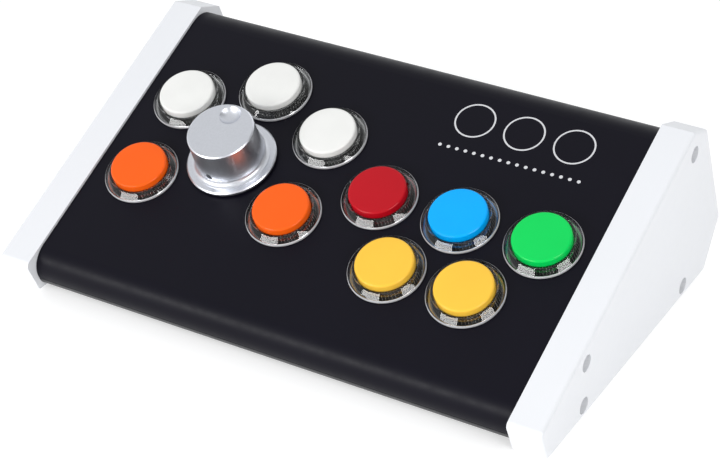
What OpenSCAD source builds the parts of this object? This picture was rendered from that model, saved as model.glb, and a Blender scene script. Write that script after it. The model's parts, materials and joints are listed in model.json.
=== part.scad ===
// Desktop button console: two wedge-shaped end cheeks hold a bent sheet housing.
// Ten 30 mm push buttons and one skirted rotary knob sit on the sloping panel.
// The slope frame has x to the right, y up the slope and z out of the panel.

/* [Housing] */
// Width of the sheet housing between the two cheeks
housing_w = 226.6; // [222:0.2:300]
// Angle of the panel above the table, degrees
slope_angle = 25.1; // [20:0.1:30]
// Thickness of the housing sheet
sheet_t = 1.5; // [1:0.1:2]
// Outer radius of the cover's front bend
front_bend_r = 10; // [6:0.5:10.5]
// Outer radius of the tray's front bend
tray_bend_r = 8; // [4:0.5:8.5]
// Outer radius of the rear bend
rear_bend_r = 13.5; // [8:0.5:15]
// Depth of the front seam below the panel surface
front_seam_drop = 11; // [10.6:0.1:11.6]
// Width of the seams between cover and tray
seam_gap = 0.5; // [0.2:0.1:0.8]
// Height of the tray flange behind the rear seam
tongue_h = 6; // [5:0.5:8]

/* [Cheeks] */
// Thickness of each cheek
cheek_t = 15; // [12:0.5:20]
// Length of a cheek along the slope
cheek_len = 163.2; // [155:0.2:200]
// Height of the cheek's front edge, measured square to the slope
cheek_front_h = 17.2; // [16.6:0.1:21]
// Height that a cheek stands above the panel
cheek_proud = 1.1; // [0.5:0.1:2.5]
// Distance that a cheek stands in front of the housing
cheek_lead = 2.7; // [1:0.1:4]
// Width and height of the slanting face at the top rear corner
rear_chamfer = 10.8; // [6:0.1:13]
// Height of a cheek at its rear face, measured square to the slope
cheek_rear_h = 70.4; // [65:0.2:80]
// Length of the cheek's bottom edge, measured along the slope
cheek_base_run = 142.4; // [135:0.2:150]
// Distance from the housing's rear face to the cheek's rear face
rear_setback = 5.3; // [2:0.1:8]
// Radius of the cheek's corners in side view
cheek_corner_r = 1; // [0.5:0.1:2]
// Radius of the cheek's top front corner in side view
cheek_nose_r = 2.5; // [1:0.1:4]
// Rounding along the outer edges of a cheek
cheek_edge = 1.4; // [0.5:0.1:2]

/* [Cheek screws] */
// Distance between the front and rear screw pairs
screw_spacing = 100; // [90:0.5:104]
// Height of the lower screws above the bottom of a cheek
low_screw_z = 5.7; // [5.5:0.1:7]
// Distance of the upper front screws below the panel's surface, straight down
front_screw_drop = 7; // [6.5:0.1:10]
// Distance of the upper rear screws below the panel's surface, straight down
rear_screw_drop = 10; // [9:0.1:25]
// Diameter of the screw shank
screw_d = 4; // [3:0.1:5]
// Diameter of the screw head
head_d = 7; // [6:0.1:8]
// Height of the screw head
head_h = 4; // [2.5:0.1:4.5]
// Distance that the screw heads are sunk below the side of a cheek
head_sink = 4; // [0.5:0.1:5]

/* [Buttons] */
// Diameter of the button holes in the panel
button_hole_d = 30; // [24:0.1:30.5]
// Width of the bezel rim outside the hole
rim_w = 1.5; // [1:0.1:2]
// Height of the bezel above the panel
bezel_h = 3.6; // [2.5:0.1:5]
// Rounding of the cap's top edge
cap_round = 1; // [0.5:0.1:2]
// Width of the ledge that holds the cap in its barrel
ledge_w = 0.85; // [0.7:0.05:1.2]
// Wall of the button barrel
barrel_wall = 1.2; // [1:0.1:1.6]
// Height of the cap above the bezel
cap_rise = 3; // [2.5:0.1:5]
// Distance that a cap travels when pressed
cap_travel = 2.5; // [1.5:0.1:3]
// Depth of the button barrel below the panel surface
barrel_depth = 16.5; // [13.5:0.25:18]
// Gap all round a cap in its bezel
cap_gap = 0.35; // [0.3:0.05:0.6]

/* [Button layout] */
// Centre line of the left group of buttons, and of the knob
left_group_x = -54.7; // [-56:0.1:-50]
// Distance from the left centre line to the outer buttons
left_pitch = 36; // [35:0.1:38]
// Height up the slope of the middle white button
white_top_y = 39.4; // [36:0.1:42]
// Height up the slope of the two outer white buttons
white_row_y = 23.8; // [20:0.1:26]
// Height up the slope of the two orange buttons
orange_row_y = -18.6; // [-24:0.1:-16]
// Centre line of the right group of buttons
right_group_x = 54.3; // [50:0.1:56]
// Distance between the red, blue and green buttons
right_pitch = 37.6; // [36:0.1:38.5]
// Height up the slope of the red, blue and green buttons
right_row_y = 2.3; // [0:0.1:6]
// Height up the slope of the two yellow buttons
yellow_row_y = -29.4; // [-32:0.1:-28.5]
// Distance between the two yellow buttons
yellow_pitch = 36; // [35:0.1:40]

/* [Knob] */
// Height of the knob up the slope
knob_y = 0; // [-4:0.1:4]
// Diameter of the knob's skirt
skirt_d = 39.8; // [37:0.1:42]
// Thickness of the skirt at its edge
skirt_h = 1.8; // [1.5:0.1:3]
// Diameter of the knob at its top
knob_top_d = 29.4; // [26:0.1:31]
// Diameter of the knob above the skirt fillet
knob_base_d = 30.8; // [28:0.1:32]
// Height of the knob's top above the panel
knob_h = 20.6; // [17:0.1:26]
// Gap between the skirt and the panel
knob_gap = 0.8; // [0.5:0.1:1.5]
// Diameter of the mouth of the finger dimple
dimple_d = 9.6; // [6:0.1:11]
// Depth of the finger dimple
dimple_depth = 2.4; // [1:0.1:3]
// Distance from the knob's axis to the dimple
dimple_r = 8.8; // [6:0.1:9]
// Direction of the dimple, degrees to the left of the x axis
dimple_angle = 90; // [0:1:359]
// Diameter of the encoder shaft
shaft_d = 6; // [4.5:0.1:7.2]

/* [Rear socket] */
// Position of the data socket to the right of the centre
socket_x = 62; // [40:1:80]
// Depth of the data socket below the panel surface
socket_drop = 42; // [35:1:50]

/* [Feet] */
// Height of the tray above the bottom of the cheeks
tray_lift = 0.3; // [0.2:0.1:1]
// Height of the cheeks above the table
foot_gap = 0.8; // [0.5:0.1:2]
// Diameter of a rubber foot
foot_d = 12; // [8:0.5:16]

/* [Hidden] */
$fn = 64;

// One row per button: name, place on the slope, colour.
BUTTONS = [
    ["white_left", [left_group_x - left_pitch, white_row_y], "white"],
    ["white_top", [left_group_x, white_top_y], "white"],
    ["white_right", [left_group_x + left_pitch, white_row_y], "white"],
    ["orange_left", [left_group_x - left_pitch, orange_row_y], "orangered"],
    ["orange_right", [left_group_x + left_pitch, orange_row_y], "orangered"],
    ["red", [right_group_x - right_pitch, right_row_y], "crimson"],
    ["blue", [right_group_x, right_row_y], "deepskyblue"],
    ["green", [right_group_x + right_pitch, right_row_y], "limegreen"],
    ["yellow_left", [right_group_x - yellow_pitch / 2, yellow_row_y], "gold"],
    ["yellow_right", [right_group_x + yellow_pitch / 2, yellow_row_y], "gold"]
];

cut = 1; // how far a cutting solid runs past the face that it opens
wall_clear = 0.3; // gap between the cover and what stands inside it
end_clear = 0.2; // gap between the cover's ends and the cheeks
hole_clear = 0.2; // radial gap round a screw in a plain hole
thread_clear = 0.02; // radial gap that stands for a thread

// ---- helpers on outlines, which run anticlockwise ----
function heading(a, b) = (b - a) / norm(b - a);
function inward(u) = [-u.y, u.x];
function meet(p, u, q, v) = p + u * cross(q - p, v) / cross(u, v);
function corner_centre(pts, i, r) =
    let (n = len(pts),
         m0 = inward(heading(pts[(i + n - 1) % n], pts[i])),
         m1 = inward(heading(pts[i], pts[(i + 1) % n])))
    pts[i] + r * (m0 + m1) / (1 + m0 * m1);
// Each edge of an outline is moved inwards by its own distance.
function inset(pts, gaps) =
    let (n = len(pts))
    [for (i = [0:n - 1])
        let (j = (i + n - 1) % n,
             u = heading(pts[j], pts[i]),
             v = heading(pts[i], pts[(i + 1) % n]))
        meet(pts[i] + gaps[j] * inward(u), u, pts[i] + gaps[i] * inward(v), v)];
function even(value, pts) = [for (p = pts) value];

// An outline whose corners are rounded in short straight steps.
function stepped(pts, radii) =
    let (n = len(pts), most = 3)
    [for (i = [0:n - 1])
        let (u = heading(pts[(i + n - 1) % n], pts[i]),
             v = heading(pts[i], pts[(i + 1) % n]),
             turn = acos(u * v),
             steps = ceil(turn / most),
             start = atan2(-u.x, u.y))
        for (k = [0:steps])
            let (a = start + turn * k / steps)
            corner_centre(pts, i, radii[i]) + radii[i] * [cos(a), sin(a)]];

// An outline with its corners rounded by true arcs.
module rounded(pts, radii) {
    n = len(pts);
    polygon([
        for (i = [0:n - 1])
            for (k = [0, 1])
                let (u = heading(pts[(i + n - 1 + k) % n], pts[(i + k) % n]))
                corner_centre(pts, i, radii[i]) - radii[i] * inward(u)
    ]);
    for (i = [0:n - 1])
        if (radii[i] > 0)
            translate(corner_centre(pts, i, radii[i]))
                circle(radii[i]);
}

// ---- side outlines in the slope frame, as [y, z] ----
slope_centre = 2.4; // offset of the cheek's middle from the panel's origin
cheek_front = slope_centre - cheek_len / 2;
cheek_rear = cheek_front + cheek_len;
cheek_foot_z = cheek_proud - cheek_front_h;
function base_z(y) = cheek_foot_z - (y - cheek_front) * tan(slope_angle);
cheek_outline = [
    [cheek_front, cheek_foot_z],
    [cheek_front + cheek_base_run, base_z(cheek_front + cheek_base_run)],
    [cheek_rear, cheek_proud - cheek_rear_h],
    [cheek_rear, cheek_proud - rear_chamfer],
    [cheek_rear - rear_chamfer, cheek_proud],
    [cheek_front, cheek_proud]
];
// The housing follows the cheek, without the chamfer at the top rear edge.
rear_low_inset = 2;
wedge_outline = [
    cheek_outline[0], cheek_outline[1], cheek_outline[2],
    [cheek_rear, cheek_proud], cheek_outline[5]
];
housing_outline = inset(wedge_outline,
    [tray_lift, rear_low_inset, rear_setback, cheek_proud, cheek_lead]);
rear_low_r = 3;
housing_radii = [tray_bend_r, rear_low_r, rear_low_r, rear_bend_r, front_bend_r];
function inner_radii(depth) = [for (r = housing_radii) r - depth];
housing_front = housing_outline[0].x;
housing_rear = housing_outline[2].x;
rear_seam_z = housing_outline[2].y + rear_low_r + 1;

// ---- placing the slope frame over the table ----
function over_table(p) = [
    p.x * cos(slope_angle) - p.y * sin(slope_angle),
    p.x * sin(slope_angle) + p.y * cos(slope_angle)
];
cheek_radii = [for (i = [0:5]) i == 5 ? cheek_nose_r : cheek_corner_r];
cheek_centres = [
    for (i = [0:5]) over_table(corner_centre(cheek_outline, i, cheek_radii[i]))
];
front_reach = min([for (i = [0:5]) cheek_centres[i].x - cheek_radii[i]]);
rear_reach = max([for (i = [0:5]) cheek_centres[i].x + cheek_radii[i]]);
low_reach = min([for (i = [0:5]) cheek_centres[i].y - cheek_radii[i]]);
slope_origin = [0, -(front_reach + rear_reach) / 2, foot_gap - low_reach];
function panel_height(y) = slope_origin.z + (y - slope_origin.y) * tan(slope_angle);
tray_floor_z = foot_gap + tray_lift + sheet_t;

module on_slope() {
    translate(slope_origin)
        rotate([slope_angle, 0, 0])
            children();
}

// A side outline made into a solid that is centred on x.
module across(width) {
    translate([-width / 2, 0, 0])
        rotate([90, 0, 90])
            linear_extrude(width)
                children();
}

// ---- sheet housing ----
module wall_loop() {
    difference() {
        rounded(housing_outline, housing_radii);
        rounded(inset(housing_outline, even(sheet_t, housing_outline)), inner_radii(sheet_t));
    }
}

far = 300;
module above_seams(drop) {
    rear_cut = housing_rear - 2 * sheet_t - wall_clear;
    polygon([
        [-far, -front_seam_drop - drop], [rear_cut, -front_seam_drop - drop],
        [rear_cut, rear_seam_z - drop], [far, rear_seam_z - drop],
        [far, far], [-far, far]
    ]);
}

cover_screw_d = 3;
cover_screw_x = [17 - housing_w / 2, -32, 20, housing_w / 2 - 17];
cover_screw_z = rear_seam_z + tongue_h / 2;
bush_d = shaft_d + 3;
socket_hole = [12.4, 11.4];
socket_flange = [40, 15];
socket_pitch = 30;

module top_cover() color("#1c1c20") on_slope() difference() {
    across(housing_w - 2 * end_clear) intersection() {
        wall_loop();
        above_seams(0);
    }
    for (b = BUTTONS)
        translate([b[1].x, b[1].y, -sheet_t - cut])
            cylinder(d = button_hole_d, h = sheet_t + 2 * cut);
    translate([left_group_x, knob_y, -sheet_t - cut])
        cylinder(d = bush_d + 2 * hole_clear, h = sheet_t + 2 * cut);
    for (x = cover_screw_x)
        rear_hole(x, cover_screw_z, cover_screw_d + 2 * hole_clear);
    for (side = [-1, 1])
        rear_hole(socket_x + side * socket_pitch / 2, -socket_drop, cover_screw_d + 2 * hole_clear);
    translate([socket_x, housing_rear, -socket_drop])
        cube([socket_hole.x, 2 * sheet_t + 2 * cut, socket_hole.y], center = true);
}

// A round hole through the rear wall.
module rear_hole(x, z, d) {
    translate([x, housing_rear + cut, z])
        rotate([90, 0, 0])
            cylinder(d = d, h = 3 * sheet_t + 2 * cut, $fn = 32);
}

// The flange inside each seam: a weld line joins it to the tray, and it backs the cover.
weld_h = 1.2;
front_tongue_h = 2.6;
module seam_flange() {
    flange_face = sheet_t + wall_clear;
    translate([housing_front + sheet_t / 2, -front_seam_drop - seam_gap - weld_h])
        square([flange_face, weld_h]);
    translate([housing_front + flange_face, -front_seam_drop - seam_gap - weld_h])
        square([sheet_t, weld_h + seam_gap + front_tongue_h]);
    translate([housing_rear - sheet_t / 2 - flange_face, rear_seam_z - seam_gap - weld_h])
        square([flange_face, weld_h]);
    translate([housing_rear - flange_face - sheet_t, rear_seam_z - seam_gap - weld_h])
        square([sheet_t, weld_h + seam_gap + tongue_h]);
}

// The tray below the seams: base, lips and the lower part of both end walls.
module tray_shell() difference() {
    across(housing_w) difference() {
        polygon(stepped(housing_outline, housing_radii));
        above_seams(seam_gap);
    }
    across(housing_w - 2 * sheet_t)
        polygon(stepped(inset(housing_outline, even(sheet_t, housing_outline)),
            inner_radii(sheet_t)));
}

// The upper part of an end wall, which stands inside the cover.
module end_wall_top() intersection() {
    inside_cover = sheet_t + wall_clear;
    polygon(stepped(inset(housing_outline, even(inside_cover, housing_outline)),
        inner_radii(inside_cover)));
    above_seams(seam_gap + weld_h);
}

board_size = [100, 56];
board_t = 1.6;
board_margin = 3.2;
floor_end = slope_origin.y + over_table(housing_outline[1]).x;
board_centre = [0, floor_end - board_margin - board_size.y / 2];
board_z = 9.4;
board_hole_inset = 4;
board_screw_d = 3;
standoff_d = 5.5;
function board_corners() = [
    for (sx = [-1, 1]) for (sy = [-1, 1])
        board_centre + [sx * (board_size.x / 2 - board_hole_inset),
                        sy * (board_size.y / 2 - board_hole_inset)]
];

// Cheek screws, as [y, z] over the table.
cheek_screw_places = [
    [-screw_spacing / 2, foot_gap + low_screw_z],
    [-screw_spacing / 2, panel_height(-screw_spacing / 2) - front_screw_drop],
    [screw_spacing / 2, foot_gap + low_screw_z],
    [screw_spacing / 2, panel_height(screw_spacing / 2) - rear_screw_drop]
];

// Children are drawn at each cheek screw on the right, with +Z outwards.
module at_right_screws() {
    for (p = cheek_screw_places)
        translate([housing_w / 2, p.x, p.y])
            rotate([0, 90, 0])
                children();
}

module bottom_tray() color("#232327") difference() {
    on_slope() {
        tray_shell();
        across(housing_w - 2 * sheet_t - 2 * wall_clear) seam_flange();
        for (side = [-1, 1])
            translate([side * (housing_w - sheet_t) / 2, 0, 0])
                across(sheet_t) end_wall_top();
    }
    for (side = [0, 1])
        mirror([side, 0, 0]) at_right_screws()
            translate([0, 0, -sheet_t - cut])
                cylinder(d = screw_d + 2 * hole_clear, h = sheet_t + 2 * cut, $fn = 32);
    for (p = board_corners())
        translate([p.x, p.y, tray_floor_z - sheet_t - cut])
            cylinder(d = board_screw_d + 2 * hole_clear, h = sheet_t + 2 * cut, $fn = 32);
    on_slope() for (x = cover_screw_x)
        rear_hole(x, cover_screw_z, cover_screw_d + 2 * thread_clear);
}

// ---- cheeks ----
head_recess = head_h + head_sink;
screw_reach = 6;

// The right cheek before drilling: thin slabs, each a little smaller, round its outer edges.
module right_cheek_blank() on_slope() hull() {
    slab = 0.02;
    translate([housing_w / 2 + (cheek_t - cheek_edge) / 2, 0, 0])
        across(cheek_t - cheek_edge)
            rounded(cheek_outline, cheek_radii);
    for (t = [22.5:22.5:90])
        let (shrink = cheek_edge * (1 - cos(t)))
        translate([housing_w / 2 + cheek_t - cheek_edge * (1 - sin(t)) - slab / 2, 0, 0])
            across(slab)
                rounded(inset(cheek_outline, even(shrink, cheek_outline)),
                    [for (r = cheek_radii) max(r - shrink, 0.1)]);
}

module right_cheek_solid() difference() {
    right_cheek_blank();
    at_right_screws() {
        translate([0, 0, -cut])
            cylinder(d = screw_d + 2 * hole_clear, h = cheek_t + 2 * cut, $fn = 32);
        translate([0, 0, cheek_t - head_recess])
            cylinder(d = head_d + 2 * hole_clear, h = head_recess + cut, $fn = 48);
    }
}

module right_cheek() color("white") right_cheek_solid();
module left_cheek() color("white") mirror([1, 0, 0]) right_cheek_solid();

hex_key = 3;
hex_depth = 0.55 * head_h;
module cheek_screw() difference() {
    union() {
        translate([0, 0, -sheet_t - screw_reach])
            cylinder(d = screw_d, h = sheet_t + screw_reach + cheek_t - head_recess, $fn = 32);
        translate([0, 0, cheek_t - head_recess])
            cylinder(d = head_d, h = head_h, $fn = 48);
    }
    translate([0, 0, cheek_t - head_sink - hex_depth])
        cylinder(d = hex_key / cos(30), h = hex_depth + cut, $fn = 6);
}
module right_cheek_screws() color("silver") at_right_screws() cheek_screw();
module left_cheek_screws() color("silver") mirror([1, 0, 0]) at_right_screws() cheek_screw();

cheek_nut_d = 6.2;
cheek_nut_h = 4;
module cheek_nuts() color("silver")
    for (side = [0, 1])
        mirror([side, 0, 0]) at_right_screws()
            translate([0, 0, -sheet_t - cheek_nut_h]) difference() {
                cylinder(d = cheek_nut_d, h = cheek_nut_h, $fn = 32);
                translate([0, 0, -cut])
                    cylinder(d = screw_d + 2 * thread_clear, h = cheek_nut_h + 2 * cut, $fn = 32);
            }

// ---- small screws with a domed head, drawn along +Z with the head above z = 0 ----
module pan_screw(d, reach) difference() {
    union() {
        translate([0, 0, -reach]) cylinder(d = d, h = reach, $fn = 32);
        cylinder(d = 2 * d, h = 0.5 * d, $fn = 32);
        translate([0, 0, 0.5 * d]) cylinder(d1 = 2 * d, d2 = 1.5 * d, h = 0.2 * d, $fn = 32);
    }
    translate([0, 0, 0.3 * d]) cube([0.28 * d, 1.2 * d, d], center = true);
    translate([0, 0, 0.3 * d]) cube([1.2 * d, 0.28 * d, d], center = true);
}

module cover_screws() color("#2a2a2e") on_slope()
    for (x = cover_screw_x)
        translate([x, housing_rear, cover_screw_z])
            rotate([-90, 0, 0])
                pan_screw(cover_screw_d, 7);

foot_inset = [22, 14];
module rubber_feet() color("#151515")
    for (sx = [-1, 1])
        for (y = [front_reach + slope_origin.y + 26, rear_reach + slope_origin.y - 32])
            translate([sx * (housing_w / 2 - foot_inset.x), y, 0]) {
                cylinder(d1 = foot_d - 1, d2 = foot_d, h = 0.5);
                translate([0, 0, 0.5])
                    cylinder(d = foot_d, h = foot_gap + tray_lift - 0.5);
            }

// ---- push buttons, drawn at the origin of the slope frame ----
module at_button(b) {
    on_slope()
        translate([b[1].x, b[1].y, 0])
            children();
}

barrel_d = button_hole_d - 2 * hole_clear;
barrel_bore = barrel_d - 2 * barrel_wall;
lip_r = barrel_bore / 2 - ledge_w;
cap_d = 2 * (lip_r - cap_gap);
rim_d = button_hole_d + 2 * rim_w;
ledge_z = -4.5;
floor_t = 1.5;
switch_size = [20, 6.4, 10];
plunger_d = 3;
leg_t = 1.6;

// Clear housing: a bevelled rim, a guide bore, a threaded barrel and switch legs.
module button_bezel(b) color("gainsboro", 0.6) at_button(b) {
    difference() {
        union() {
            rotate_extrude() bezel_section();
            translate([0, 0, -barrel_depth])
                cylinder(d = barrel_d, h = barrel_depth);
        }
        translate([0, 0, ledge_z - cut])
            cylinder(r = lip_r, h = cut - ledge_z + cut);
        translate([0, 0, floor_t - barrel_depth])
            cylinder(d = barrel_bore, h = barrel_depth - floor_t + ledge_z);
        translate([0, 0, -barrel_depth - cut])
            cylinder(d = plunger_d + 1, h = floor_t + 2 * cut, $fn = 32);
    }
    for (side = [-1, 1])
        translate([side * (switch_size.x + leg_t + 0.1) / 2, 0, -barrel_depth - 3])
            cube([leg_t, switch_size.y, 6], center = true);
}

rim_edge = 1;
module bezel_section() polygon([
    [lip_r, 0], [rim_d / 2, 0], [rim_d / 2, rim_edge * 0.6],
    [rim_d / 2 - rim_edge * 0.4, rim_edge],
    [lip_r + 1.4, bezel_h - 0.2], [lip_r + 1, bezel_h], [lip_r, bezel_h]
]);

cap_wall = 1.6;
flange_r = barrel_bore / 2 - 0.4;
flange_h = 1.5;
cap_top_z = bezel_h + cap_rise;
post_d = 8;
post_end_z = cap_travel + floor_t - barrel_depth + 0.5;
well_depth = 5;

// Coloured cap: a rounded cup, a retaining flange and a post that works the switch.
module button_cap(b) color(b[2]) at_button(b) {
    rotate_extrude() difference() {
        union() {
            translate([0, ledge_z - 0.3 - flange_h])
                square([cap_d / 2, cap_top_z - cap_round - ledge_z + 0.3 + flange_h]);
            translate([0, cap_top_z - cap_round])
                square([cap_d / 2 - cap_round, cap_round]);
            translate([cap_d / 2 - cap_round, cap_top_z - cap_round])
                circle(cap_round);
            translate([0, ledge_z - 0.3 - flange_h])
                square([flange_r, flange_h]);
        }
        translate([-far, -far]) square([far, 2 * far]);
        translate([post_d / 2, ledge_z - 0.3 - flange_h - cut])
            square([cap_d / 2 - cap_wall - post_d / 2,
                    cap_top_z - cap_wall - ledge_z + 0.3 + flange_h + cut]);
    }
    translate([0, 0, post_end_z])
        cylinder(d = post_d, h = cap_top_z - cap_wall - post_end_z, $fn = 48);
    translate([0, 0, cap_travel - barrel_depth - well_depth + 0.5])
        cylinder(d = plunger_d, h = well_depth + 4, $fn = 32);
}

// Snap-action switch with a well for the plunger and three solder tags.
module button_switch(b) color("#3a3a3a") at_button(b)
    translate([0, 0, -barrel_depth]) {
        difference() {
            translate([0, 0, -switch_size.z / 2]) cube(switch_size, center = true);
            translate([0, 0, -well_depth])
                cylinder(d = plunger_d + 0.7, h = well_depth + cut, $fn = 32);
        }
        for (x = [-8.5, 0, 8])
            translate([x, 0, -switch_size.z - 1.9])
                cube([0.6, 3.2, 4.2], center = true);
    }

nut_d = button_hole_d + 4;
nut_h = 5;
nut_flange_h = 1.5;
notch_d = 4;
module button_nuts() color("#d8d8d8")
    for (b = BUTTONS)
        at_button(b) translate([0, 0, -sheet_t - nut_h]) difference() {
            union() {
                cylinder(d = nut_d - 2, h = nut_h);
                translate([0, 0, nut_h - nut_flange_h]) cylinder(d = nut_d, h = nut_flange_h);
            }
            translate([0, 0, -cut])
                cylinder(d = barrel_d + 2 * thread_clear, h = nut_h + 2 * cut);
            for (a = [0:60:300])
                rotate(a + 7) translate([nut_d / 2 + 0.4, 0, -cut])
                    cylinder(d = notch_d, h = nut_h - nut_flange_h - 0.6 + cut, $fn = 24);
        }

// ---- knob and encoder ----
module on_knob_axis() {
    on_slope()
        translate([left_group_x, knob_y, 0])
            children();
}

skirt_top = knob_gap + skirt_h;
step_h = 0.3;
knob_fillet = 2.4;
edge_bevel = 0.5;
knob_hollow_d = 24;
knob_hollow_h = 4;
shaft_top = knob_h - 5;
set_screw_z = 7;
set_screw_d = 3;
set_screw_angle = -95;
bore_clear = 0.02;
shaft_flat = 1.5;

// Half section of the knob: skirt, raised step, fillet and tapered body.
module knob_section() difference() {
    union() {
        polygon([
            [0, knob_gap], [skirt_d / 2 - 0.3, knob_gap], [skirt_d / 2, knob_gap + 0.3],
            [skirt_d / 2, skirt_top - edge_bevel], [skirt_d / 2 - edge_bevel, skirt_top],
            [0, skirt_top]
        ]);
        translate([0, skirt_top - 0.1])
            square([knob_base_d / 2 + knob_fillet - 0.6, step_h + 0.1]);
        translate([0, skirt_top])
            square([knob_base_d / 2 + knob_fillet - 0.6, knob_fillet]);
        polygon([
            [0, skirt_top], [knob_base_d / 2, skirt_top],
            [knob_top_d / 2, knob_h - edge_bevel],
            [knob_top_d / 2 - edge_bevel, knob_h], [0, knob_h]
        ]);
    }
    translate([knob_base_d / 2 + knob_fillet - 0.2, skirt_top + step_h + knob_fillet])
        circle(knob_fillet);
    translate([knob_base_d / 2 + knob_fillet - 0.2, skirt_top + step_h])
        square([knob_fillet, knob_h]);
}

dimple_ball = (pow(dimple_d / 2, 2) + pow(dimple_depth, 2)) / (2 * dimple_depth);

module knob() color("#b9bcc2") on_knob_axis() difference() {
    rotate_extrude($fn = 96) knob_section();
    translate([0, 0, knob_gap - cut])
        cylinder(d = knob_hollow_d, h = knob_hollow_h + cut);
    difference() {
        cylinder(d = shaft_d + 2 * bore_clear, h = shaft_top + 1, $fn = 48);
        rotate(set_screw_angle)
            translate([shaft_d / 2 - shaft_flat + bore_clear, -shaft_d, knob_h / 2])
                cube([shaft_d, 2 * shaft_d, knob_h]);
    }
    rotate(set_screw_angle)
        translate([0, 0, set_screw_z])
            rotate([0, 90, 0])
                cylinder(d = set_screw_d + 2 * thread_clear, h = knob_base_d, $fn = 32);
    rotate(dimple_angle)
        translate([dimple_r, 0, knob_h + dimple_ball - dimple_depth])
            sphere(dimple_ball);
}

set_screw_len = 6;
module knob_set_screw() color("#333333") on_knob_axis()
    rotate(set_screw_angle)
        translate([shaft_d / 2 - shaft_flat, 0, set_screw_z])
            rotate([0, 90, 0]) difference() {
                cylinder(d = set_screw_d, h = set_screw_len, $fn = 32);
                translate([0, 0, set_screw_len - 2])
                    cylinder(d = 1.5 / cos(30), h = 2 + cut, $fn = 6);
            }

bush_h = 6.5;
encoder_size = [14, 14, 7];
bush_bore = shaft_d + 0.08;
washer_t = 0.6;
shaft_foot = -sheet_t - encoder_size.z + 1.5;

module encoder_shaft() color("#a8a8a8") on_knob_axis() difference() {
    translate([0, 0, shaft_foot])
        cylinder(d = shaft_d, h = shaft_top - shaft_foot, $fn = 48);
    rotate(set_screw_angle)
        translate([shaft_d / 2 - shaft_flat, -shaft_d, knob_gap + knob_hollow_h])
            cube([shaft_d, 2 * shaft_d, knob_h]);
}

module encoder_body() color("#6f7a72") on_knob_axis() difference() {
    union() {
        translate([0, 0, -sheet_t - encoder_size.z / 2])
            cube(encoder_size, center = true);
        translate([0, 0, -sheet_t - 1])
            cylinder(d = bush_d, h = bush_h - 2 + 1, $fn = 48);
        for (x = [-5, 0, 5])
            translate([x, -encoder_size.y / 2, -sheet_t - encoder_size.z - 1.4])
                cube([1, 0.6, 4], center = true);
    }
    translate([0, 0, shaft_foot - 0.3])
        cylinder(d = bush_bore, h = bush_h + encoder_size.z + cut, $fn = 48);
}

module encoder_washer() color("silver") on_knob_axis() difference() {
    cylinder(d = bush_d + 4, h = washer_t, $fn = 48);
    translate([0, 0, -cut])
        cylinder(d = bush_d + 2 * hole_clear, h = washer_t + 2 * cut, $fn = 48);
}

module encoder_nut() color("silver") on_knob_axis() translate([0, 0, washer_t]) difference() {
    cylinder(d = (bush_d + 3) / cos(30), h = 2, $fn = 6);
    translate([0, 0, -cut])
        cylinder(d = bush_d + 2 * thread_clear, h = 2 + 2 * cut, $fn = 48);
}

// ---- electronics ----
module controller_board() color("#1f5c3a") {
    translate([board_centre.x, board_centre.y, board_z]) {
        difference() {
            translate([0, 0, board_t / 2]) cube([board_size.x, board_size.y, board_t], center = true);
            for (p = board_corners())
                translate([p.x - board_centre.x, p.y - board_centre.y, -cut])
                    cylinder(d = board_screw_d + 2 * hole_clear, h = board_t + 2 * cut, $fn = 32);
        }
        translate([0, 0, board_t]) {
            translate([-12, -6, 0]) cube([10, 10, 1.4]);
            translate([14, 2, 0]) cube([11, 4.6, 3.2]);
            for (k = [0:4])
                translate([-38 + 16 * k, 18, 0]) cube([12.4, 5.8, 7]);
            for (k = [0:2])
                translate([-30, -14 + 7 * k, 0]) cylinder(d = 5, h = 5.5, $fn = 24);
        }
    }
}

module board_standoffs() color("gold")
    for (p = board_corners())
        translate([p.x, p.y, tray_floor_z]) difference() {
            cylinder(d = standoff_d, h = board_z - tray_floor_z, $fn = 32);
            translate([0, 0, -cut])
                cylinder(d = board_screw_d + 2 * thread_clear, h = board_z, $fn = 32);
        }

module board_screws() color("silver")
    for (p = board_corners()) {
        translate([p.x, p.y, board_z + board_t])
            pan_screw(board_screw_d, board_t + 2.4);
        translate([p.x, p.y, tray_floor_z - sheet_t])
            rotate([180, 0, 0])
                cylinder(d = 2 * board_screw_d, h = 0.6, $fn = 32);
        translate([p.x, p.y, tray_floor_z - sheet_t - 0.1])
            cylinder(d = board_screw_d, h = sheet_t + 2.6, $fn = 32);
    }

// Square data socket behind the rear wall, with its mouth flush with the wall.
socket_mouth = [8.6, 8];
socket_depth = 12;
module data_socket() color("#2c2c2c") on_slope()
    translate([socket_x, housing_rear, -socket_drop]) difference() {
        union() {
            translate([0, -sheet_t - 1, 0])
                cube([socket_flange.x, 2, socket_flange.y], center = true);
            translate([0, -8, 0])
                cube([socket_hole.x - 0.4, 16, socket_hole.y - 0.4], center = true);
        }
        difference() {
            translate([0, cut - (socket_depth + cut) / 2, 0])
                cube([socket_mouth.x, socket_depth + cut, socket_mouth.y], center = true);
            translate([0, -socket_depth + 2, 0])
                cube([5.6, 7, 3.2], center = true);
        }
        for (side = [-1, 1])
            translate([side * socket_pitch / 2, cut, 0])
                rotate([90, 0, 0])
                    cylinder(d = cover_screw_d + 2 * thread_clear, h = 6 + cut, $fn = 32);
    }

module socket_screws() color("#2a2a2e") on_slope()
    for (side = [-1, 1])
        translate([socket_x + side * socket_pitch / 2, housing_rear, -socket_drop])
            rotate([-90, 0, 0])
                pan_screw(cover_screw_d, 5);

top_cover();
bottom_tray();
left_cheek();
right_cheek();
left_cheek_screws();
right_cheek_screws();
cheek_nuts();
cover_screws();
rubber_feet();
button_nuts();
knob();
knob_set_screw();
encoder_shaft();
encoder_body();
encoder_nut();
encoder_washer();
controller_board();
board_standoffs();
board_screws();
data_socket();
socket_screws();
for (b = BUTTONS) {
    button_cap(b);
    button_bezel(b);
    button_switch(b);
}
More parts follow.
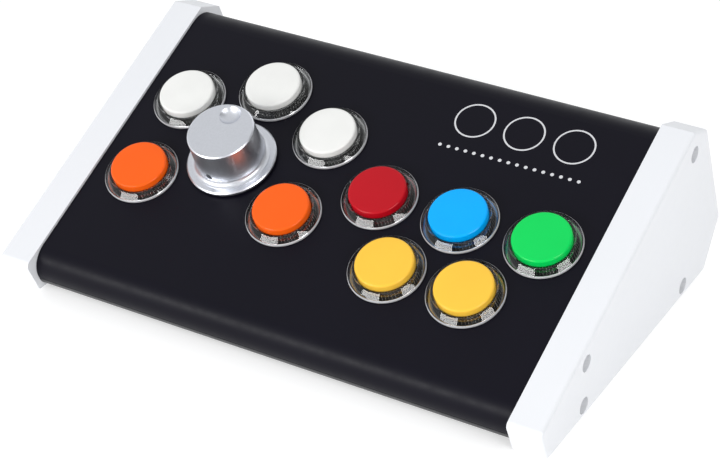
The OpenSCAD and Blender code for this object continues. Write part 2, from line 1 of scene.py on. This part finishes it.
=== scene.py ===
"""Looks for the desktop button console: materials, fine pieces, light, floor and camera."""
import json
import math

import bmesh
import bpy
from mathutils import Matrix, Vector


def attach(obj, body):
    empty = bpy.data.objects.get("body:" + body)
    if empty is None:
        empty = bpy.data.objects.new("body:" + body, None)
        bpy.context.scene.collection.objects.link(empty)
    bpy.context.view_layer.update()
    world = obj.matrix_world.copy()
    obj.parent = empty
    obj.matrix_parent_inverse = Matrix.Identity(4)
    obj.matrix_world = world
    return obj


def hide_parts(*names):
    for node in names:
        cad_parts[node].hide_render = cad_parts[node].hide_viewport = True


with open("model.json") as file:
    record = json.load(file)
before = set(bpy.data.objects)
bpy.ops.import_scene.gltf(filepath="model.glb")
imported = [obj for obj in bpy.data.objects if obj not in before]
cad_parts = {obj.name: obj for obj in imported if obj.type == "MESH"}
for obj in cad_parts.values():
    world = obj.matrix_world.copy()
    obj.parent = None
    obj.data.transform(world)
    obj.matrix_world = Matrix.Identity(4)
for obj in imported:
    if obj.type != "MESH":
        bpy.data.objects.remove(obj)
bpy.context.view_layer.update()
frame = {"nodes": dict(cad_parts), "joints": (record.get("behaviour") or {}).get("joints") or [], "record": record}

MM = 0.001
NODES = frame["nodes"]
BUTTONS = (
    "white_left", "white_top", "white_right", "orange_left", "orange_right",
    "red", "blue", "green", "yellow_left", "yellow_right",
)
ROOT_BODY = "console"

# ---------------------------------------------------------------- slope frame
KNOB_JOINT = next(j for j in frame["joints"] if j["name"] == "knob_turn")
PANEL_POINT = Vector(KNOB_JOINT["pos_m"])
PANEL_NORMAL = Vector(KNOB_JOINT["axis"]).normalized()
UP_SLOPE = PANEL_NORMAL.cross(Vector((1, 0, 0))).normalized()
SLOPE_TURN = Matrix((Vector((1, 0, 0)), UP_SLOPE, PANEL_NORMAL)).transposed().to_4x4()
SLOPE = Matrix.Translation(PANEL_POINT) @ SLOPE_TURN
SLOPE_BACK = SLOPE.inverted()


def slope_matrix(x, y):
    """From a piece drawn on the XY plane to its place on the panel, x and y from the knob's axis."""
    return SLOPE @ Matrix.Translation((x, y, 0))


def slope_box(node):
    """A node's lowest and highest corners, measured along the slope frame from the knob's axis."""
    points = [SLOPE_BACK @ v.co for v in NODES[node].data.vertices]
    low = Vector([min(p[i] for p in points) for i in range(3)])
    high = Vector([max(p[i] for p in points) for i in range(3)])
    return low, high


# ---------------------------------------------------------------- materials
# The part of a noise's range that a change of tone or roughness spreads over.
NOISE_LOW = 0.3
NOISE_HIGH = 0.7
ROUGHNESS_SPREAD = 0.04


class Shader:
    """A Principled material with a few helpers for procedural detail on Object coordinates."""

    def __init__(self, name, **sockets):
        self.material = bpy.data.materials.new(name)
        self.material.use_nodes = True
        self.tree = self.material.node_tree
        self.principled = self.tree.nodes["Principled BSDF"]
        self.coordinates = self.tree.nodes.new("ShaderNodeTexCoord")
        for socket, value in sockets.items():
            self.principled.inputs[socket.replace("_", " ")].default_value = value

    def link(self, out, into):
        self.tree.links.new(out, into)

    def noise(self, scale, detail=3.0, roughness=0.5):
        node = self.tree.nodes.new("ShaderNodeTexNoise")
        node.inputs["Scale"].default_value = scale
        node.inputs["Detail"].default_value = detail
        node.inputs["Roughness"].default_value = roughness
        self.link(self.coordinates.outputs["Object"], node.inputs["Vector"])
        return node.outputs["Fac"]

    def set_tones(self, factor, dark, light):
        """Base colour between two tones."""
        node = self.tree.nodes.new("ShaderNodeValToRGB")
        stops = ((NOISE_LOW, dark), (NOISE_HIGH, light))
        for element, (place, colour) in zip(node.color_ramp.elements, stops):
            element.position = place
            element.color = (*colour, 1.0)
        self.link(factor, node.inputs["Fac"])
        self.set("Base Color", node.outputs["Color"])

    def set_roughness(self, factor, low, high):
        """Roughness between two values."""
        node = self.tree.nodes.new("ShaderNodeMapRange")
        node.inputs["From Min"].default_value = NOISE_LOW
        node.inputs["From Max"].default_value = NOISE_HIGH
        node.inputs["To Min"].default_value = low
        node.inputs["To Max"].default_value = high
        self.link(factor, node.inputs["Value"])
        self.set("Roughness", node.outputs["Result"])

    def bump(self, height, strength, distance, below=None):
        node = self.tree.nodes.new("ShaderNodeBump")
        node.inputs["Strength"].default_value = strength
        node.inputs["Distance"].default_value = distance
        self.link(height, node.inputs["Height"])
        if below is not None:
            self.link(below, node.inputs["Normal"])
        return node.outputs["Normal"]

    def set(self, socket, value):
        self.link(value, self.principled.inputs[socket])


def shade_of(colour, factor):
    return tuple(min(1.0, c * factor) for c in colour)


def coated(name, colour, roughness, grain, peel, depth, variation=0.06, **sockets):
    """Powder coat, paint, ink or rubber: fine grain over a soft ripple, with slight changes of tone."""
    s = Shader(name, **sockets)
    s.set_tones(s.noise(18.0, 4.0), shade_of(colour, 1 - variation), shade_of(colour, 1 + variation))
    s.set_roughness(s.noise(240.0), roughness - ROUGHNESS_SPREAD, roughness + ROUGHNESS_SPREAD)
    soft = s.bump(s.noise(peel, 2.0), 0.35, depth)
    s.set("Normal", s.bump(s.noise(grain, 2.0), 0.5, depth * 0.5, soft))
    return s.material


def moulded(name, colour, roughness, **sockets):
    """Injection-moulded plastic: almost smooth, with a faint ripple and slight handling marks."""
    s = Shader(name, **sockets)
    s.set_tones(s.noise(60.0), shade_of(colour, 0.97), shade_of(colour, 1.02))
    s.set_roughness(s.noise(420.0, 5.0, 0.65), roughness * 0.8, roughness * 1.25)
    s.set("Normal", s.bump(s.noise(150.0, 1.0), 0.1, 0.0001))
    return s.material


def metal(name, colour, roughness, grain):
    """Bare or anodised metal with a fine grain."""
    s = Shader(name, Metallic=1.0)
    s.set_tones(s.noise(grain * 0.5, 4.0), shade_of(colour, 0.97), shade_of(colour, 1.03))
    s.set_roughness(s.noise(grain), roughness - ROUGHNESS_SPREAD, roughness + ROUGHNESS_SPREAD)
    s.set("Normal", s.bump(s.noise(grain * 1.5, 2.0), 0.3, 0.00001))
    return s.material


def clear_plastic():
    """Clear polycarbonate with faint flow ripples from its mould."""
    s = Shader("clear_polycarbonate", Transmission_Weight=1.0, IOR=1.5)
    s.set_tones(s.noise(90.0), (0.95, 0.96, 0.98), (1.0, 1.0, 1.0))
    s.set_roughness(s.noise(500.0, 4.0), 0.01, 0.04)
    s.set("Normal", s.bump(s.noise(140.0, 1.0), 0.1, 0.0001))
    return s.material


def frosted_plastic_painted_highlight():
    """Clear polycarbonate with a fine matt finish, made light grey and half clear as a painted highlight of the
    bright rim.
    """
    s = Shader("frosted_polycarbonate_painted_highlight", Transmission_Weight=0.35, IOR=1.5)
    s.set_tones(s.noise(90.0), (0.62, 0.62, 0.64), (0.68, 0.68, 0.70))
    s.set_roughness(s.noise(900.0, 4.0), 0.28, 0.40)
    s.set("Normal", s.bump(s.noise(2400.0, 1.0), 0.2, 0.00003))
    return s.material


CAP_ROUGHNESS = 0.16
CAP_SPECULAR = 0.20
CAP_COLOURS = {
    "white": (0.74, 0.74, 0.72),
    "orange": (0.82, 0.105, 0.006),
    "red": (0.42, 0.003, 0.010),
    "blue": (0.0, 0.35, 0.86),
    "green": (0.002, 0.56, 0.09),
    "yellow": (0.82, 0.48, 0.05),
}
# coated: colour, roughness, scale of the grain, scale of the ripple, depth of the ripple in m.
# moulded: colour, roughness. metal: colour, roughness, scale of the grain.
MATERIALS = {
    "black_sheet": coated("black_powder_coat", (0.0030, 0.0026, 0.0068), 0.42, 2600.0, 700.0, 0.00004,
                          Specular_IOR_Level=0.13),
    # The tray's coat is the top cover's black made lighter, a painted reflection of the bright floor on the tray's
    # lip.
    "tray_coat_painted_reflection": coated("black_tray_coat_painted_reflection", (0.010, 0.010, 0.013), 0.40, 2600.0, 700.0, 0.00004),
    "white_cheek": coated("white_satin_paint", (0.705, 0.715, 0.74), 0.34, 1500.0, 320.0, 0.00003,
                          variation=0.008),
    "print_ink": coated("screen_print_ink", (0.60, 0.60, 0.62), 0.5, 1800.0, 500.0, 0.00002),
    "steel": metal("zinc_plated_steel", (0.62, 0.62, 0.62), 0.28, 900.0),
    "black_screw": coated("black_oxide", (0.02, 0.02, 0.022), 0.38, 1800.0, 600.0, 0.00003),
    "rubber": coated("foot_rubber", (0.02, 0.02, 0.021), 0.7, 1400.0, 300.0, 0.0001),
    "nut_plastic": moulded("nut_nylon", (0.7, 0.7, 0.68), 0.45),
    "knob_aluminium": metal("bead_blasted_aluminium", (0.70, 0.715, 0.76), 0.36, 2400.0),
    "switch_plastic": moulded("switch_plastic", (0.02, 0.02, 0.02), 0.4),
    "board_green": moulded("solder_mask", (0.012, 0.10, 0.035), 0.3),
    "brass": metal("turned_brass", (0.75, 0.55, 0.25), 0.25, 900.0),
    "socket_plastic": moulded("socket_plastic", (0.018, 0.018, 0.02), 0.45),
    "clear_bezel": clear_plastic(),
    # The light grey frosted band on the bezels' outer edges is a painted highlight of the bright rim.
    "frosted_edge_painted_highlight": frosted_plastic_painted_highlight(),
}
for cap_name, cap_colour in CAP_COLOURS.items():
    MATERIALS[cap_name + "_cap"] = moulded(cap_name + "_cap_plastic", cap_colour, CAP_ROUGHNESS,
                                           Specular_IOR_Level=CAP_SPECULAR)

SLOTS = {part["node"]: part["material_slot"] for part in frame["record"]["subparts"]}
for node, piece in NODES.items():
    piece.data.materials.clear()
    # The bottom tray takes the lighter coat, which carries the painted reflection of the floor.
    piece.data.materials.append(MATERIALS["tray_coat_painted_reflection" if node == "bottom_tray" else SLOTS[node]])

# ---------------------------------------------------------------- turned pieces
TURN_STEPS = 112
SHARP_ANGLE = math.radians(28.0)


def arc(centre, radius, start, end, steps):
    """Points along an arc in a turned outline, as (radius, height), angles in degrees."""
    angles = [math.radians(start + (end - start) * k / steps) for k in range(steps + 1)]
    return [(centre[0] + radius * math.cos(a), centre[1] + radius * math.sin(a)) for a in angles]


def turned(name, outline, closed):
    """A mesh spun round z from (radius, height) points in mm; closed joins the last to the first."""
    shape = bmesh.new()
    rings = []
    for radius, height in outline:
        count = TURN_STEPS if radius > 0 else 1
        rings.append([
            shape.verts.new((
                MM * radius * math.cos(math.tau * k / TURN_STEPS),
                MM * radius * math.sin(math.tau * k / TURN_STEPS),
                MM * height,
            ))
            for k in range(count)
        ])
    pairs = list(zip(rings, rings[1:]))
    if closed:
        pairs.append((rings[-1], rings[0]))
    for low, high in pairs:
        for k in range(TURN_STEPS):
            corners = [low[k % len(low)], low[(k + 1) % len(low)],
                       high[(k + 1) % len(high)], high[k % len(high)]]
            unique = list(dict.fromkeys(corners))
            if len(unique) > 2:
                shape.faces.new(unique)
    bmesh.ops.recalc_face_normals(shape, faces=shape.faces)
    mesh = bpy.data.meshes.new(name)
    shape.to_mesh(mesh)
    shape.free()
    return mesh


def smooth_by_angle(mesh):
    """Smooth shading, with a sharp edge wherever two faces meet at more than SHARP_ANGLE."""
    shape = bmesh.new()
    shape.from_mesh(mesh)
    for face in shape.faces:
        face.smooth = True
    for edge in shape.edges:
        edge.smooth = edge.calc_face_angle(0.0) < SHARP_ANGLE
    shape.to_mesh(mesh)
    shape.free()


def place(mesh, name, matrix, material):
    """An object at the origin whose mesh holds its place."""
    mesh.transform(matrix)
    smooth_by_angle(mesh)
    mesh.materials.clear()
    mesh.materials.append(material)
    piece = bpy.data.objects.new(name, mesh)
    bpy.context.scene.collection.objects.link(piece)
    return piece


# ---------------------------------------------------------------- push buttons
# Sizes of one push button in mm, as radii and heights over the panel.
LIP_R = 12.75
CAP_R = 12.4
BORE_R = 13.6
BARREL_R = 14.8
LEDGE_Z = -4.5
FLANGE_R = 13.2
FLANGE_H = 1.5
CAP_ROUND = 1.0
CAP_WALL = 1.6
CROWN = 0.22
CROWN_STEPS = 8
LEDGE_GAP = 0.3
LIP_INNER_ROUND = 0.35
LIP_OUTER_ROUND = 0.55
LIP_WIDTH = 0.75
RIM_ROUND = 1.0
RIM_ROUND_Z = 0.75
RIM_UNDERCUT = 0.3
# Width of the light grey band on each bezel's outer edge, which carries the painted highlight of the rim.
EDGE_WIDTH = 0.55
BARREL_DEPTH = 16.5
FLOOR_T = 1.5
LEG_OFFSET = 10.85
LEG_SIZE = Vector((1.6, 6.4, 6.0))
POST_R = 4.0
PLUNGER_R = 1.5
PLUNGER_CLEAR = 0.5
# Known fault: the part's own plunger is 6.5 long below the post. With 4.0 the post reaches too low,
# and at full press it cuts through the bezel's floor and into the switch.
PLUNGER_LENGTH = 4.0

BEZEL_LOW, BEZEL_HIGH = slope_box(BUTTONS[0] + "_bezel")


def button_place(name):
    """Centre of a button on the panel, in m from the knob's axis."""
    low, high = slope_box(name + "_bezel")
    return (low.x + high.x) / 2, (low.y + high.y) / 2


def bezel_outline():
    """Rim, barrel and floor of a bezel, as a closed loop."""
    rim = (BEZEL_HIGH.y - BEZEL_LOW.y) / 2 / MM
    top = BEZEL_HIGH.z / MM
    hole = PLUNGER_R + PLUNGER_CLEAR
    inner = (LIP_R + LIP_INNER_ROUND, top - LIP_INNER_ROUND)
    outer = (LIP_R + LIP_WIDTH, top - LIP_OUTER_ROUND)
    return [
        (LIP_R, LEDGE_Z), (LIP_R, top - LIP_INNER_ROUND),
        *arc(inner, LIP_INNER_ROUND, 180, 90, 4),
        *arc(outer, LIP_OUTER_ROUND, 80, 48, 4),
        *arc((rim - RIM_ROUND, RIM_ROUND_Z), RIM_ROUND, 50, -20, 7),
        (rim - RIM_UNDERCUT, 0.0), (BARREL_R, 0.0), (BARREL_R, -BARREL_DEPTH), (hole, -BARREL_DEPTH),
        (hole, FLOOR_T - BARREL_DEPTH), (BORE_R, FLOOR_T - BARREL_DEPTH), (BORE_R, LEDGE_Z),
    ]


def cap_outline(node):
    """Crown, flange, post and plunger of a cap, from the crown's middle to the plunger's tip."""
    low, high = slope_box(node)
    top = high.z / MM
    tip = low.z / MM
    skirt = LEDGE_Z - LEDGE_GAP
    crown_r = CAP_R - CAP_ROUND
    crown = [
        (crown_r * k / CROWN_STEPS, top - CROWN * (k / CROWN_STEPS) ** 2)
        for k in range(CROWN_STEPS + 1)
    ]
    return [
        *crown, *arc((crown_r, top - CROWN - CAP_ROUND), CAP_ROUND, 84, 0, 6),
        (CAP_R, skirt), (FLANGE_R, skirt), (FLANGE_R, skirt - FLANGE_H),
        (CAP_R - CAP_WALL, skirt - FLANGE_H), (CAP_R - CAP_WALL, top - CAP_WALL),
        (POST_R, top - CAP_WALL), (POST_R, tip + PLUNGER_LENGTH),
        (PLUNGER_R, tip + PLUNGER_LENGTH), (PLUNGER_R, tip), (0, tip),
    ]


def repeat_tree():
    """Geometry Nodes: one copy of the source, turned onto the panel, at every point."""
    tree = bpy.data.node_groups.new("copies_on_panel", "GeometryNodeTree")
    face = tree.interface
    face.new_socket("Places", in_out="INPUT", socket_type="NodeSocketGeometry")
    face.new_socket("Source", in_out="INPUT", socket_type="NodeSocketObject")
    face.new_socket("Turn", in_out="INPUT", socket_type="NodeSocketVector")
    face.new_socket("Material", in_out="INPUT", socket_type="NodeSocketMaterial")
    face.new_socket("Pieces", in_out="OUTPUT", socket_type="NodeSocketGeometry")
    inputs = tree.nodes.new("NodeGroupInput")
    info = tree.nodes.new("GeometryNodeObjectInfo")
    instance = tree.nodes.new("GeometryNodeInstanceOnPoints")
    realize = tree.nodes.new("GeometryNodeRealizeInstances")
    paint = tree.nodes.new("GeometryNodeSetMaterial")
    output = tree.nodes.new("NodeGroupOutput")
    link = tree.links.new
    link(inputs.outputs["Source"], info.inputs["Object"])
    link(inputs.outputs["Places"], instance.inputs["Points"])
    link(info.outputs["Geometry"], instance.inputs["Instance"])
    link(inputs.outputs["Turn"], instance.inputs["Rotation"])
    link(instance.outputs["Instances"], realize.inputs["Geometry"])
    link(realize.outputs["Geometry"], paint.inputs["Geometry"])
    link(inputs.outputs["Material"], paint.inputs["Material"])
    link(paint.outputs["Geometry"], output.inputs["Pieces"])
    return tree


def repeated(name, source_mesh, points, material):
    """Copies of a mesh at points on the panel, as one plain mesh."""
    source = bpy.data.objects.new(name + "_source", source_mesh)
    bpy.context.scene.collection.objects.link(source)
    dots = bpy.data.meshes.new(name + "_places")
    dots.from_pydata([slope_matrix(x, y).to_translation() for x, y in points], [], [])
    holder = bpy.data.objects.new(name + "_holder", dots)
    bpy.context.scene.collection.objects.link(holder)
    tree = repeat_tree()
    modifier = holder.modifiers.new("repeat", "NODES")
    modifier.node_group = tree
    values = {"Source": source, "Turn": tuple(SLOPE_TURN.to_euler()), "Material": material}
    for item in tree.interface.items_tree:
        if item.in_out == "INPUT" and item.name in values:
            modifier[item.identifier] = values[item.name]
    bpy.context.view_layer.update()
    evaluated = holder.evaluated_get(bpy.context.evaluated_depsgraph_get())
    mesh = bpy.data.meshes.new_from_object(evaluated)
    holder.modifiers.clear()
    bpy.data.objects.remove(holder)
    bpy.data.objects.remove(source)
    return place(mesh, name, Matrix.Identity(4), material)


def switch_legs():
    """The two legs under a bezel that hold its switch."""
    shape = bmesh.new()
    size = Matrix.Diagonal((*(LEG_SIZE * MM), 1))
    for side in (-1, 1):
        middle = Matrix.Translation((side * LEG_OFFSET * MM, 0, BEZEL_LOW.z + LEG_SIZE.z / 2 * MM))
        bmesh.ops.create_cube(shape, size=1.0, matrix=middle @ size)
    return shape


def frost_edge_painted_highlight(mesh):
    """Gives the rounded outer edge of every bezel in the joined mesh the light grey frosted material, a painted
    highlight along the rim.
    """
    centres = [Vector(button_place(b)) for b in BUTTONS]
    inner = (BEZEL_HIGH.y - BEZEL_LOW.y) / 2 - EDGE_WIDTH * MM
    mesh.materials.append(MATERIALS["frosted_edge_painted_highlight"])
    for face in mesh.polygons:
        spot = SLOPE_BACK @ face.center
        radius = min((spot.xy - centre).length for centre in centres)
        if radius > inner and spot.z > -EDGE_WIDTH * MM:
            face.material_index = 1


def make_bezels():
    mesh = turned("bezel", bezel_outline(), closed=True)
    shape = switch_legs()
    shape.from_mesh(mesh)
    shape.to_mesh(mesh)
    shape.free()
    places = [button_place(b) for b in BUTTONS]
    bezels = repeated("button_bezels", mesh, places, MATERIALS["clear_bezel"])
    frost_edge_painted_highlight(bezels.data)
    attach(bezels, ROOT_BODY)
    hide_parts(*[b + "_bezel" for b in BUTTONS])


def make_cap(button):
    node = button + "_cap"
    mesh = turned(button + "_cap_turned", cap_outline(node), closed=False)
    matrix = slope_matrix(*button_place(button))
    cap = place(mesh, button + "_cap_moulding", matrix, MATERIALS[SLOTS[node]])
    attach(cap, button + "_button")
    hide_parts(node)


make_bezels()
for button in BUTTONS:
    make_cap(button)

# ---------------------------------------------------------------- panel print
# A plain printed ornament at the panel's upper right: three rings over a row of dots,
# in mm from the knob's axis.
PRINT_UNDER = -0.02
PRINT_TOP = 0.03
RING_R = 9.0
RING_LINE = 0.7
RING_START = (92.0, 52.0)
RING_PITCH = 23.0
RING_PLACES = [(RING_START[0] + RING_PITCH * k, RING_START[1]) for k in range(3)]
DOT_R = 0.8
DOT_START = (83.0, 36.0)
DOT_PITCH = 4.0
DOT_PLACES = [(DOT_START[0] + DOT_PITCH * k, DOT_START[1]) for k in range(17)]


def make_panel_print():
    ring = turned("ring", [(RING_R - RING_LINE, PRINT_UNDER), (RING_R, PRINT_UNDER),
                           (RING_R, PRINT_TOP), (RING_R - RING_LINE, PRINT_TOP)], closed=True)
    dot = turned("dot", [(0, PRINT_UNDER), (DOT_R, PRINT_UNDER), (DOT_R, PRINT_TOP), (0, PRINT_TOP)],
                 closed=False)
    shape = bmesh.new()
    for name, source, places in (("rings", ring, RING_PLACES), ("dots", dot, DOT_PLACES)):
        part = repeated(name, source, [(x * MM, y * MM) for x, y in places], MATERIALS["print_ink"])
        shape.from_mesh(part.data)
        bpy.data.objects.remove(part)
    mesh = bpy.data.meshes.new("panel_print")
    shape.to_mesh(mesh)
    shape.free()
    ornament = place(mesh, "panel_print", Matrix.Identity(4), MATERIALS["print_ink"])
    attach(ornament, ROOT_BODY)


make_panel_print()

# ---------------------------------------------------------------- camera
# The camera stands this far round to the right of the front, and this far above level.
CAMERA_AZIMUTH = math.radians(30.06)
CAMERA_ELEVATION = math.radians(31.14)
CAMERA_ROLL = math.radians(-0.08)
CAMERA_DISTANCE = 0.8873
CAMERA_LENS = 104.4
SENSOR_WIDTH = 36.0
NEAREST = 0.05
AIM = Vector((0.00406, -0.00965, 0.02781))


def place_camera():
    data = bpy.data.cameras.new("camera")
    data.lens = CAMERA_LENS
    data.sensor_width = SENSOR_WIDTH
    data.clip_start = NEAREST
    camera = bpy.data.objects.new("camera", data)
    bpy.context.scene.collection.objects.link(camera)
    outward = Vector((
        math.cos(CAMERA_ELEVATION) * math.sin(CAMERA_AZIMUTH),
        -math.cos(CAMERA_ELEVATION) * math.cos(CAMERA_AZIMUTH),
        math.sin(CAMERA_ELEVATION),
    ))
    camera.location = AIM + outward * CAMERA_DISTANCE
    turn = outward.to_track_quat("Z", "Y") @ Matrix.Rotation(CAMERA_ROLL, 4, "Z").to_quaternion()
    camera.rotation_euler = turn.to_euler()
    bpy.context.scene.camera = camera


place_camera()

# ---------------------------------------------------------------- light and floor
SCENE = bpy.context.scene
SCENE.view_settings.view_transform = "Standard"
SCENE.view_settings.look = "None"


SOFT_BOX_AIM = Vector((0.0, 0.0, 0.04))
SOFT_BOX_DISTANCE = 1.5


def soft_light(name, azimuth, elevation, size, watts):
    """A rectangular soft box; azimuth 0 is the user's side, growing to the right."""
    data = bpy.data.lights.new(name, "AREA")
    data.shape = "RECTANGLE"
    data.size, data.size_y = size
    data.energy = watts
    lamp = bpy.data.objects.new(name, data)
    a, e = math.radians(azimuth), math.radians(elevation)
    outward = Vector((math.cos(e) * math.sin(a), -math.cos(e) * math.cos(a), math.sin(e)))
    lamp.location = SOFT_BOX_AIM + outward * SOFT_BOX_DISTANCE
    lamp.rotation_euler = outward.to_track_quat("Z", "Y").to_euler()
    SCENE.collection.objects.link(lamp)


# Strength of the tent's light at eye level, overhead and where its front stands open.
HORIZON = 0.88
ZENITH = 0.80
OPEN_FRONT = 0.25
# How much brighter or dimmer these walls of the tent are than its left wall.
BACK_WALL = 1.55
RIGHT_WALL = 0.35


# Where the light changes, as an axis of the view direction with its start and end, and the two values.
OVERHEAD_FADE = ("Z", 0.35, 0.85, HORIZON, ZENITH)
WALL_FADES = (
    ("Y", -0.98, -0.80, OPEN_FRONT, 1.0),
    ("Y", 0.55, 0.95, 1.0, BACK_WALL),
    ("X", 0.2, 0.8, 1.0, RIGHT_WALL),
)
TENT_WHITE = (0.97, 0.985, 1.0, 1.0)


def tent():
    """A white tent: bright at eye level, softer overhead, and dim where its front stands open."""
    world = bpy.data.worlds.new("studio")
    world.use_nodes = True
    nodes = world.node_tree.nodes
    link = world.node_tree.links.new
    where = nodes.new("ShaderNodeTexCoord")
    split = nodes.new("ShaderNodeSeparateXYZ")
    link(where.outputs["Generated"], split.inputs["Vector"])

    def fade(axis, low, high, from_value, to_value):
        node = nodes.new("ShaderNodeMapRange")
        node.interpolation_type = "SMOOTHSTEP"
        node.inputs["From Min"].default_value = low
        node.inputs["From Max"].default_value = high
        node.inputs["To Min"].default_value = from_value
        node.inputs["To Max"].default_value = to_value
        link(split.outputs[axis], node.inputs["Value"])
        return node.outputs["Result"]

    wall = fade(*OVERHEAD_FADE)
    for wall_fade in WALL_FADES:
        product = nodes.new("ShaderNodeMath")
        product.operation = "MULTIPLY"
        link(wall, product.inputs[0])
        link(fade(*wall_fade), product.inputs[1])
        wall = product.outputs["Value"]
    link(wall, nodes["Background"].inputs["Strength"])
    nodes["Background"].inputs["Color"].default_value = TENT_WHITE
    SCENE.world = world


# The floor is white paper that glows softly, as if lit from beneath.
FLOOR_SIZE = 8.0
FLOOR_GLOW = 0.48


def studio():
    tent()
    soft_light("left_front_box", -21, 14, (1.05, 0.40), 13.0)
    soft_light("right_front_box", 62, 27, (0.75, 0.50), 10.0)

    bpy.ops.mesh.primitive_plane_add(size=FLOOR_SIZE)
    floor = bpy.context.object
    floor.name = "floor"
    paper = Shader("white_paper")
    paper.set_tones(paper.noise(2.0), (0.60, 0.60, 0.60), (0.62, 0.62, 0.62))
    paper.set_roughness(paper.noise(80.0), 0.85, 0.95)
    paper.principled.inputs["Emission Color"].default_value = (1.0, 1.0, 1.0, 1.0)
    paper.principled.inputs["Emission Strength"].default_value = FLOOR_GLOW
    floor.data.materials.append(paper.material)


studio()
